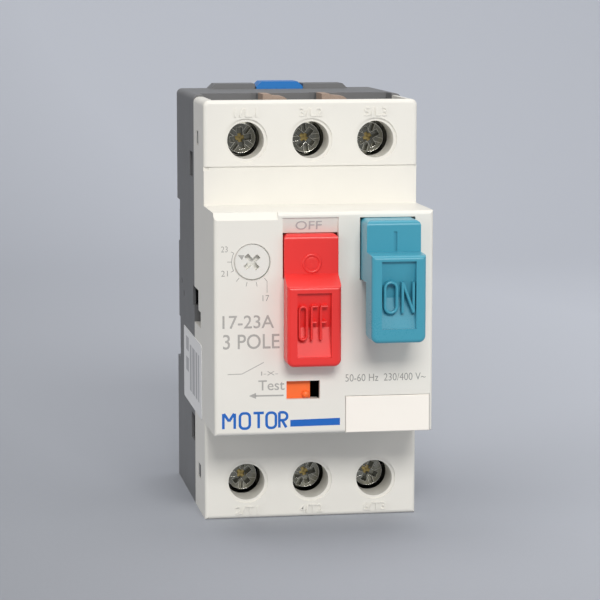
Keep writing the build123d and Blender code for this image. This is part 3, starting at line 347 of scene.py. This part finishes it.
pale_ink = ink("pale_grey_ink", (0.42, 0.41, 0.39), 0.35)
dark_ink = ink("grey_ink", (0.30, 0.295, 0.28), 0.35)
# The raised OFF letters are a grey darker than the panel: painted shade along their moulded strokes.
legend_painted_shade = ink("legend_painted_shade", (0.50, 0.48, 0.48), 0.3)
blue_ink = ink("blue_ink", (0.001, 0.125, 0.52), 0.12)
INK = 0.015
PRINTS = (
    ("current_range", "17-23A", (-20.6, -10.2, -2.85, -0.2), pale_ink, 0.006),
    ("pole_count", "3 POLE", (-20.5, -9.1, -7.0, -4.0), pale_ink, 0.006),
    ("trip_symbol", "I-X-", (-12.85, -9.4, -12.4, -11.6), pale_ink, 0.0),
    ("test_word", "Test", (-13.4, -8.1, -15.45, -13.4), pale_ink, 0.006),
    ("supply_line", "50-60 Hz  230/400 V~", (4.3, 20.8, -14.1, -12.6), dark_ink, -0.006),
)
for name, words, box, material, weight in PRINTS:
    lettering(name, words, box, PANEL, INK, material, "housing", weight)
LEGEND_BOX = (-5.75, -0.45, 16.75, 18.5)
LEGEND_SUNK = 0.99
LEGEND_LEAN = 0.281
lettering(
    "off_legend", "OFF", LEGEND_BOX, PANEL + LEGEND_SUNK, 0.09, legend_painted_shade, "housing", lean=LEGEND_LEAN
)
switch_symbol = [(-19.6, -12.05), (-16.7, -12.0), (-12.3, -9.75)]
ridge("switch_symbol", [switch_symbol], 0.16, PANEL, INK, pale_ink, "housing")


def loop(x, z, wide, tall, round_by):
    """A letter's round-cornered loop about a centre, closed."""
    points = []
    for turn, (side, up) in enumerate(((1, 1), (-1, 1), (-1, -1), (1, -1))):
        corner = (x + side * (wide / 2 - round_by), z + up * (tall / 2 - round_by))
        points += arc(*corner, round_by, 90 * turn, 90 * turn + 90, 6)
    return points + points[:1]


NAME_Z0, NAME_Z1 = -23.1, -20.0
NAME_MIDDLE = (NAME_Z0 + NAME_Z1) / 2
name_runs = [
    [(-20.5, NAME_Z0), (-20.5, NAME_Z1)],
    [(-20.4, NAME_Z1), (-19.35, NAME_MIDDLE)],
    [(-19.35, NAME_MIDDLE), (-18.3, NAME_Z1)],
    [(-18.2, NAME_Z1), (-18.2, NAME_Z0)],
    loop(-16.15, NAME_MIDDLE, 2.0, NAME_Z1 - NAME_Z0, 0.8),
    [(-14.4, NAME_Z1), (-12.3, NAME_Z1)],
    [(-13.35, NAME_Z1), (-13.35, NAME_Z0)],
    loop(-10.8, NAME_MIDDLE, 1.9, NAME_Z1 - NAME_Z0, 0.8),
    [(-9.15, NAME_Z0), (-9.15, NAME_Z1)],
    [(-9.15, NAME_Z1), *arc(-8.35, NAME_Z1 - 0.8, 0.8, 90, -90, 8), (-9.15, NAME_Z1 - 1.6)],
    [(-8.6, NAME_Z1 - 1.6), (-7.75, NAME_Z0)],
]
ridge("panel_name", name_runs, 0.54, PANEL, INK, blue_ink, "housing")


def print_block(name, corners, material, face=PANEL, body="housing"):
    """A printed shape with the given (x, z) corners, in mm, on the plane Y = face."""
    deselect()
    bpy.ops.mesh.primitive_circle_add(vertices=len(corners), fill_type="NGON")
    piece = bpy.context.object
    for vertex, (x, z) in zip(piece.data.vertices, corners):
        vertex.co = Vector((x, face, z)) * MM
    skin = piece.modifiers.new("ink", "SOLIDIFY")
    skin.thickness = 2 * INK * MM
    skin.offset = 0.0
    bpy.ops.object.modifier_apply(modifier=skin.name)
    return settle(piece, name, material, body)


print_block("name_bar", ((-6.92, -22.97), (3.21, -22.9), (3.21, -21.45), (-6.92, -21.6)), blue_ink)
print_block("test_arrow_shaft", ((-14.0, -16.66), (-8.3, -16.7), (-8.3, -16.4), (-14.0, -16.36)), pale_ink)
print_block("test_arrow_head", ((-15.3, -16.5), (-13.9, -17.1), (-13.9, -15.9)), pale_ink)

# --- Current dial: a white moulded screw head with a cross slot, set flush in the panel, and round it a
# printed scale in amperes that runs from 17 at the lower right to 23 at the upper left.
dial_white = moulded("dial_white", (0.80, 0.79, 0.745), 0.34, grain=0.15)
dress("current_dial", dial_white)
DIAL = Vector((-14.6, 10.5))
SCALE_START = 153.4
SCALE_STEP = 25.6


def spoke(angle, inner, outer):
    """A straight tick at an angle round the dial, in degrees."""
    out = Vector((math.cos(math.radians(angle)), math.sin(math.radians(angle))))
    return [tuple(DIAL + out * inner), tuple(DIAL + out * outer)]


ticks = [spoke(SCALE_START + n * SCALE_STEP, 4.1, 4.7 if n in (0, 2) else 5.0) for n in range(6)]
ticks.append(arc(*DIAL, 4.1, SCALE_START, SCALE_START + 2 * SCALE_STEP))
ticks.append([(-12.15, 7.25), (-11.6, 6.6), (-11.6, 4.3)])
ridge("dial_scale", ticks, 0.11, PANEL, INK, dark_ink, "housing")
ridge("dial_rim", [arc(*DIAL, 3.75, 0, 360, 48)], 0.16, PANEL, 0.06, white, "housing")
SCALE_NUMBERS = (
    ("23", (-20.8, -19.5, 12.55, 13.7)),
    ("21", (-20.8, -19.5, 7.7, 8.85)),
    ("17", (-12.5, -11.2, 2.6, 3.8)),
)
for words, box in SCALE_NUMBERS:
    lettering(f"dial_number_{words}", words, box, PANEL, INK, dark_ink, "housing", weight=-0.012)
DIAL_SUNK = 0.1
out = Vector((math.cos(math.radians(SCALE_START)), math.sin(math.radians(SCALE_START))))
beside = Vector((-out.y, out.x))
tips = ((3.2, 0.0), (2.0, 0.55), (2.0, -0.55))
pointer = [tuple(DIAL + out * reach + beside * side) for reach, side in tips]
print_block("dial_pointer", pointer, pale_ink, PANEL + DIAL_SUNK, "dial")

# --- Push keys: stepped keys moulded through in colour, the ON key teal and out, the OFF key red and in.
# Each pad has a scooped recess for the finger, with its word raised from the floor in narrow strokes.
teal = moulded("key_teal", (0.055, 0.325, 0.445), 0.30, grain=0.10)
red = moulded("key_red", (0.84, 0.036, 0.032), 0.33, grain=0.10)
dress("on_key", teal)
dress("off_key", red)
ON_PAD = -73.0
OFF_PAD = -66.0
PAD_FLOOR = 1.3  # from the pad's rim down to the upper part of the scoop


def tall_o(x, z0, z1, width):
    """The letter O as a long ring with round ends."""
    radius = width / 2
    top = arc(x, z1 - radius, radius, 0, 180, 10)
    bottom = arc(x, z0 + radius, radius, 180, 360, 10)
    return top + bottom + [(x + radius, z1 - radius)]


def tall_f(x, z0, z1, width):
    """The letter F in three runs."""
    middle = z0 + 0.52 * (z1 - z0)
    return [[(x, z1), (x + width, z1)], [(x, z1), (x, z0)], [(x, middle), (x + 0.85 * width, middle)]]


WORD_PROUD = 1.1
ON_Z0, ON_Z1 = 1.3, 7.3
N_LEFT, N_RIGHT = 13.65, 15.85
on_word = [
    tall_o(11.3, ON_Z0, ON_Z1, 2.4),
    [(N_LEFT, ON_Z0), (N_LEFT, ON_Z1)],
    [(N_LEFT, ON_Z1), (N_RIGHT, ON_Z0)],
    [(N_RIGHT, ON_Z0), (N_RIGHT, ON_Z1)],
]
ridge("on_word", on_word, 0.56, ON_PAD + PAD_FLOOR, WORD_PROUD, teal, "on_key")
OFF_Z0, OFF_Z1 = -4.7, 1.9
off_word = [
    tall_o(-5.05, OFF_Z0, OFF_Z1, 1.5),
    *tall_f(-3.3, OFF_Z0, OFF_Z1, 1.2),
    *tall_f(-1.45, OFF_Z0, OFF_Z1, 1.3),
]
ridge("off_word", off_word, 0.46, OFF_PAD + PAD_FLOOR, WORD_PROUD, red, "off_key")
OFF_UPPER = PANEL - 1.0
RING_CENTRE = (-2.7, 10.1)
ridge("off_ring", [arc(*RING_CENTRE, 1.72, 0, 360, 40)], 0.6, OFF_UPPER, 0.22, red, "off_key")
ridge("off_disc", [arc(*RING_CENTRE, 0.62, 0, 360, 24)], 1.25, OFF_UPPER, 0.05, red, "off_key")

# --- Small mouldings: orange test slider, cream marker plate, blue latch, beige fibre vent strips, and the
# black parts of the mechanism, which show only through the openings.
orange = moulded("slider_orange", (1.0, 0.175, 0.032), 0.4)
blue = moulded("latch_blue", (0.010, 0.185, 0.56), 0.4)
cream = moulded("marker_cream", (0.98, 0.93, 0.86), 0.42, grain=0.1, mottle=0.015)
beige = moulded("vent_beige", (0.40, 0.30, 0.24), 0.8, grain=0.8, mottle=0.2, fibre=0.5)
black = moulded("black_moulding", (0.018, 0.018, 0.02), 0.45)
SMALL = {
    "test_slider": orange, "rail_latch": blue, "marker_plate": cream, "vent_strips": beige,
    "mechanism_frame": black, "rocker": black, "contact_carrier": black, "trip_shaft": black,
    "overload_slide": black,
}
for node, material in SMALL.items():
    dress(node, material)
NUB_RADIUS = 0.8
NUB_FLATTENED = 0.9
NUB_CENTRE = Vector((-3.6, PANEL + 1.35, -16.6))
deselect()
bpy.ops.mesh.primitive_uv_sphere_add(segments=24, ring_count=12, radius=NUB_RADIUS * MM)
nub = bpy.context.object
for vertex in nub.data.vertices:
    vertex.co.y *= NUB_FLATTENED
    vertex.co += NUB_CENTRE * MM
bpy.ops.object.shade_smooth()
settle(nub, "test_nub", orange, "test_slider")

# --- Side label: a white paper sticker with plain grey bars where a maker would print its data.
sticker = ink("sticker_paper", (0.86, 0.86, 0.87), 0.04)
bar_ink = ink("sticker_grey", (0.50, 0.50, 0.52), 0.10)
dress("side_label", sticker)
LABEL_X = -22.35
LABEL_BARS = (
    (-36.0, -34.0, -22.0, -12.0), (-32.5, -29.5, -22.0, -12.0), (-28.0, -23.5, -22.0, -12.0),
    (-22.0, -19.0, -22.0, -12.0), (-17.0, -12.0, -14.0, -11.0), (-17.0, -12.0, -18.5, -15.5),
)
for number, (y0, y1, z0, z1) in enumerate(LABEL_BARS, start=1):
    deselect()
    bpy.ops.mesh.primitive_plane_add(size=1)
    bar = bpy.context.object
    for vertex in bar.data.vertices:
        y = (y0 + y1) / 2 + vertex.co.x * (y1 - y0)
        z = (z0 + z1) / 2 + vertex.co.y * (z1 - z0)
        vertex.co = Vector((LABEL_X, y, z)) * MM
    skin = bar.modifiers.new("ink", "SOLIDIFY")
    skin.thickness = INK * MM
    skin.offset = 0.0
    bpy.ops.object.modifier_apply(modifier=skin.name)
    settle(bar, f"label_bar_{number}", bar_ink, "housing")


# --- Metals: zinc-plated screws and clamps, tinned copper conductors, iron and spring steel.
def metal(name, colour, roughness, scratch=0.35, tarnish=(0.4, 0.36, 0.25), spread=0.25):
    """A plated or drawn metal, with fine scratches and patches of tarnish."""
    finish = Finish(name)
    place = finish.node("ShaderNodeTexCoord", out=3)
    stretched = finish.node("ShaderNodeMapping", None, {"Vector": place, "Scale": (900, 9000, 2500)})
    lines = finish.node("ShaderNodeTexNoise", None, {"Vector": stretched, "Scale": 1.0, "Detail": 4.0})
    patch = finish.node("ShaderNodeTexNoise", None, {"Vector": place, "Scale": 420.0, "Detail": 4.0})
    shade = finish.node(
        "ShaderNodeMix", {"data_type": "RGBA"}, {0: patch * spread, 6: (*colour, 1), 7: (*tarnish, 1)}, out=2
    )
    bump = finish.node("ShaderNodeBump", None, {"Strength": scratch, "Distance": 0.00002, "Height": lines})
    gloss = (lines - 0.5) * 0.2 + patch * 0.15 + roughness
    finish.paint(Base_Color=shade, Metallic=1.0, Roughness=gloss, Normal=bump)
    return finish.material


steel = metal("zinc_steel", (0.34, 0.34, 0.31), 0.12, tarnish=(0.14, 0.13, 0.07), spread=0.8)
copper = metal("tinned_copper", (0.66, 0.42, 0.28), 0.35, tarnish=(0.35, 0.2, 0.14), spread=0.5)
iron = metal("plated_iron", (0.45, 0.45, 0.46), 0.35)
for node in nodes:
    if "_screw_" in node or "_clamp_" in node or node.endswith(("spring", "springs")):
        dress(node, steel)
    elif node.startswith(("line_terminal", "load_terminal", "moving_contacts", "trip_coil")):
        dress(node, copper)
    elif node.startswith(("trip_yoke", "trip_plunger", "upper_arc", "lower_arc", "bimetal", "rocker_pin")):
        dress(node, iron)


# --- Screw heads: bright metal lines along the edges of each cross and slot are a painted highlight, and the
# cross has worn through to brass at its centre. They turn with their screws.
painted_highlight_metal = metal("painted_highlight_plating", (0.88, 0.88, 0.84), 0.10, scratch=0.2, spread=0.2)
brass = metal("worn_through_brass", (0.62, 0.46, 0.16), 0.25, scratch=0.2, spread=0.4)
SCREW_SUNK = 8.0
HEAD_TOP = FACE + SCREW_SUNK
RECESS_DEPTH = 1.9
ARM, ARM_HALF, SLOT_HALF, HEAD_RADIUS = 2.3, 0.65, 0.5, 3.05
SCREW_ROWS = {"line": (33.6, (8, 52, 28)), "load": (-37.5, (40, 15, 65))}


def turned(points, x, z, degrees):
    """Points turned about the origin and then moved to (x, z)."""
    c, s = math.cos(math.radians(degrees)), math.sin(math.radians(degrees))
    return [(x + u * c - v * s, z + u * s + v * c) for u, v in points]


for row, (z, turns) in SCREW_ROWS.items():
    for pole, turn in enumerate(turns, start=1):
        x = (pole - 2) * PITCH
        quarter = [(ARM_HALF, ARM_HALF), (ARM_HALF, ARM), (-ARM_HALF, ARM)]
        cross = [point for n in range(4) for point in turned(quarter, 0, 0, 90 * n)]
        edges = [turned([*cross, cross[0]], x, z, turn)]
        inner = math.sqrt(2) * ARM_HALF + SLOT_HALF
        for n in range(4):
            for side in (-SLOT_HALF, SLOT_HALF):
                edges.append(turned([(inner, side), (HEAD_RADIUS, side)], x, z, turn + 45 + 90 * n))
        edges.append(arc(x, z, HEAD_RADIUS, 0, 360, 48))
        body = f"{row}_screw_{pole}"
        # Painted highlight: bright metal lines along the edges of the cross and slots.
        ridge(f"{body}_edges", edges, 0.12, HEAD_TOP, 0.06, painted_highlight_metal, body)
        core = [turned([(-0.9, 0), (0.9, 0)], x, z, turn + 90 * n) for n in range(2)]
        ridge(f"{body}_core", core, 0.9, HEAD_TOP + RECESS_DEPTH, 0.12, brass, body)


# --- Return springs of the test slider and the rail latch: wound from spring steel wire, each held at one end
# by the housing.
def return_spring(node, along, turns, wire, fixed_end, travel):
    """A wound spring in a CAD spring's place, along axis 0, 1 or 2; sizes in mm. fixed_end is not used."""
    corners = [v.co / MM for v in nodes[node].data.vertices]
    low = [min(c[n] for c in corners) for n in range(3)]
    high = [max(c[n] for c in corners) for n in range(3)]
    middle = [(low[n] + high[n]) / 2 for n in range(3)]
    first, second = [n for n in range(3) if n != along]
    radius = (high[first] - low[first] - wire) / 2
    coil = bpy.data.curves.new(node, "CURVE")
    coil.dimensions = "3D"
    coil.bevel_depth = wire / 2
    coil.bevel_resolution = 2
    coil.use_fill_caps = True
    path = coil.splines.new("POLY")
    steps = 20 * turns
    path.points.add(steps)
    for n, point in enumerate(path.points):
        angle = 2 * math.pi * turns * n / steps
        place = list(middle)
        place[along] = low[along] + wire + (high[along] - low[along] - 2 * wire) * n / steps
        place[first] += radius * math.cos(angle)
        place[second] += radius * math.sin(angle)
        point.co = (*place, 1)
    piece = curve_to_mesh(f"{node}_coil", coil)
    for vertex in piece.data.vertices:
        vertex.co *= MM
    turn_out_and_smooth()
    settle(piece, f"{node}_coil", steel, "housing")
    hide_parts(node)
    axis = [float(n == along) for n in range(3)]
    anchor = [c * MM for c in middle]
    anchor[along] = fixed_end * MM
    length = high[along] - low[along]
    (length - travel) / length
    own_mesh(piece)


SPRING_TURNS = 9
SPRING_GIVE = 3.2  # the 3 mm that slider and latch both travel, and a little to spare
return_spring("test_spring", 0, SPRING_TURNS, 0.25, -17.0, SPRING_GIVE)
return_spring("rail_latch_spring", 2, SPRING_TURNS, 0.4, 32.25, SPRING_GIVE)
